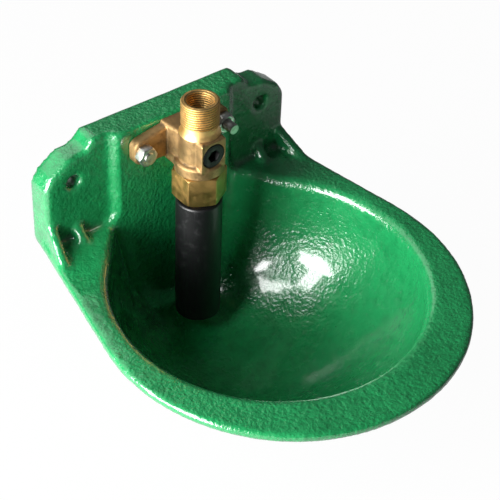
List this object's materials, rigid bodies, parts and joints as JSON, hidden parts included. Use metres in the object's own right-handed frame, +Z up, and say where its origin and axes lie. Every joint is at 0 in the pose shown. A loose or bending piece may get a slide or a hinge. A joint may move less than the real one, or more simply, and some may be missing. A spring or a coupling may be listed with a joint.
{
  "type": "livestock drinking bowl",
  "caption": "Cast iron drinking bowl for cattle with a wall plate, a brass valve with a threaded inlet, a flow screw and a tube that opens the valve when pushed.",
  "frame": {"origin": "midway between the two wall bolt holes, on the wall plane that the casting's back lies against", "axes": "+Y into the wall, -Y towards the animal, +X to the right seen from the animal, +Z up along the inlet thread"},
  "size_m": [0.256, 0.2717, 0.207],
  "materials": {
    "green_enamel": "gloss",
    "cast_brass": "satin",
    "turned_brass": "satin",
    "black_tube": "satin",
    "black_plastic": "satin",
    "white_plastic": "satin",
    "seal_rubber": "matte",
    "stainless_steel": "satin",
    "zinc_steel": "satin"
  },
  "bodies": {
    "base": {"bowl_casting": "green_enamel", "valve_body": "cast_brass", "union_nut": "turned_brass", "seat_insert": "white_plastic", "seat_seal": "seal_rubber", "seat_lock_ring": "turned_brass", "valve_spring": "stainless_steel", "inlet_strainer": "white_plastic", "flange_bolt_left": "zinc_steel", "flange_bolt_right": "zinc_steel", "flange_nuts": "zinc_steel", "rear_washers": "zinc_steel"},
    "rocker": {"rocker_ring": "turned_brass"},
    "tube": {"rocker_head": "turned_brass", "drinking_tube": "black_tube"},
    "pin": {"valve_pin": "stainless_steel", "sealing_disc": "seal_rubber", "disc_washer": "stainless_steel", "pin_clip": "stainless_steel"},
    "flow_seal": {"flow_screw_seal": "seal_rubber"},
    "flow_screw": {"flow_screw": "black_plastic"}
  },
  "joints": [
    {"name": "tube_push", "type": "hinge", "parent": "base", "child": "rocker", "pos_m": [0, -0.0641, -0.0215], "axis": [1, 0, 0], "range_deg": [0, 3], "stiffness_Nm_per_rad": 3, "springref_deg": -2.86},
    {"name": "tube_side", "type": "hinge", "parent": "rocker", "child": "tube", "pos_m": [0, -0.0515, -0.0166], "axis": [0, 1, 0], "range_deg": [-6, 6]},
    {"name": "pin_lift", "type": "slide", "parent": "base", "child": "pin", "axis": [0, 0, 1], "range_m": [0, 0.0008], "deforming": ["valve_spring"]},
    {"name": "flow_travel", "type": "slide", "parent": "base", "child": "flow_seal", "axis": [0, 1, 0], "range_m": [0, 0.003]},
    {"name": "flow_turn", "type": "hinge", "parent": "flow_seal", "child": "flow_screw", "pos_m": [0, -0.0672, 0.0151], "axis": [0, 1, 0], "range_deg": [0, 720]}
  ],
  "couplings": [
    {"joint": "pin_lift", "follows": "tube_push", "m_per_rad": 0.0126},
    {"joint": "flow_turn", "follows": "flow_travel", "rad_per_m": 4188.7}
  ]
}
